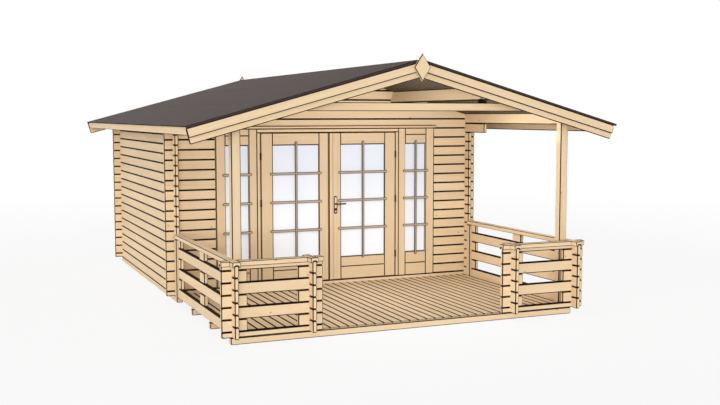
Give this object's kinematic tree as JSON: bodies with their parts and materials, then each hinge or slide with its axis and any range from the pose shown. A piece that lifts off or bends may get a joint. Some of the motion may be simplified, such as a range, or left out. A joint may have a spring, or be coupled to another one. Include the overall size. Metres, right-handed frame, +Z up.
{
  "type": "weekend cottage",
  "caption": "Small one-room log cabin with a shallow gable roof and a covered, railed veranda in front of a glazed double door with a glazed panel on each side.",
  "frame": {"origin": "on the ground, under the middle of the roof", "axes": "+Z up, -Y to the front (the veranda side), +X to the right seen from the front"},
  "size_m": [4.9064, 6.4522, 2.8632],
  "materials": {
    "log_spruce": "untreated planed spruce logs, matt",
    "planed_spruce": "untreated planed spruce boards, matt",
    "base_beam_spruce": "sawn spruce beams, matt",
    "roofing_felt": "mineral-faced bitumen felt, matt",
    "window_glass": "clear float glass",
    "dark_steel": "dark satin coated steel"
  },
  "bodies": {
    "cabin": {"cabin_base_frame": "base_beam_spruce", "cabin_floor": "planed_spruce", "door_frame": "planed_spruce", "front_barge_board_left": "planed_spruce", "front_barge_board_right": "planed_spruce", "front_beam": "base_beam_spruce", "front_finial": "planed_spruce", "front_gable": "log_spruce", "front_railing_left": "log_spruce", "front_railing_right": "log_spruce", "front_sill_log": "log_spruce", "front_wall_left": "log_spruce", "front_wall_right": "log_spruce", "head_board": "planed_spruce", "left_fascia": "planed_spruce", "left_purlin": "log_spruce", "left_railing": "log_spruce", "left_sidelight": "planed_spruce", "left_sidelight_glass": "window_glass", "left_veranda_post": "log_spruce", "left_wall": "log_spruce", "left_wall_plate": "log_spruce", "left_wall_post": "planed_spruce", "rear_barge_board_left": "planed_spruce", "rear_barge_board_right": "planed_spruce", "rear_finial": "planed_spruce", "rear_wall": "log_spruce", "right_fascia": "planed_spruce", "right_purlin": "log_spruce", "right_railing": "log_spruce", "right_sidelight": "planed_spruce", "right_sidelight_glass": "window_glass", "right_veranda_post": "log_spruce", "right_wall": "log_spruce", "right_wall_plate": "log_spruce", "right_wall_post": "planed_spruce", "roof_boards_left": "planed_spruce", "roof_boards_right": "planed_spruce", "roof_felt": "roofing_felt", "tie_beam": "log_spruce", "veranda_deck": "planed_spruce", "veranda_joist_1": "base_beam_spruce", "veranda_joist_2": "base_beam_spruce"},
    "left_door": {"left_door": "planed_spruce", "left_door_glass": "window_glass"},
    "right_door": {"right_door": "planed_spruce", "right_door_glass": "window_glass", "handle_plate": "dark_steel"},
    "door_lever": {"door_lever": "dark_steel"}
  },
  "joints": [
    {"name": "left_door_hinge", "type": "hinge", "parent": "cabin", "child": "left_door", "pos_m": [-0.915, -0.6485, 1.1], "axis": [0, 0, -1], "range_deg": [0, 110]},
    {"name": "right_door_hinge", "type": "hinge", "parent": "cabin", "child": "right_door", "pos_m": [0.915, -0.6485, 1.1], "axis": [0, 0, 1], "range_deg": [0, 110]},
    {"name": "door_lever_turn", "type": "hinge", "parent": "right_door", "child": "door_lever", "pos_m": [0.074, -0.6365, 1.11], "axis": [0, 1, 0], "range_deg": [0, 40], "stiffness_Nm_per_rad": 0.6}
  ]
}
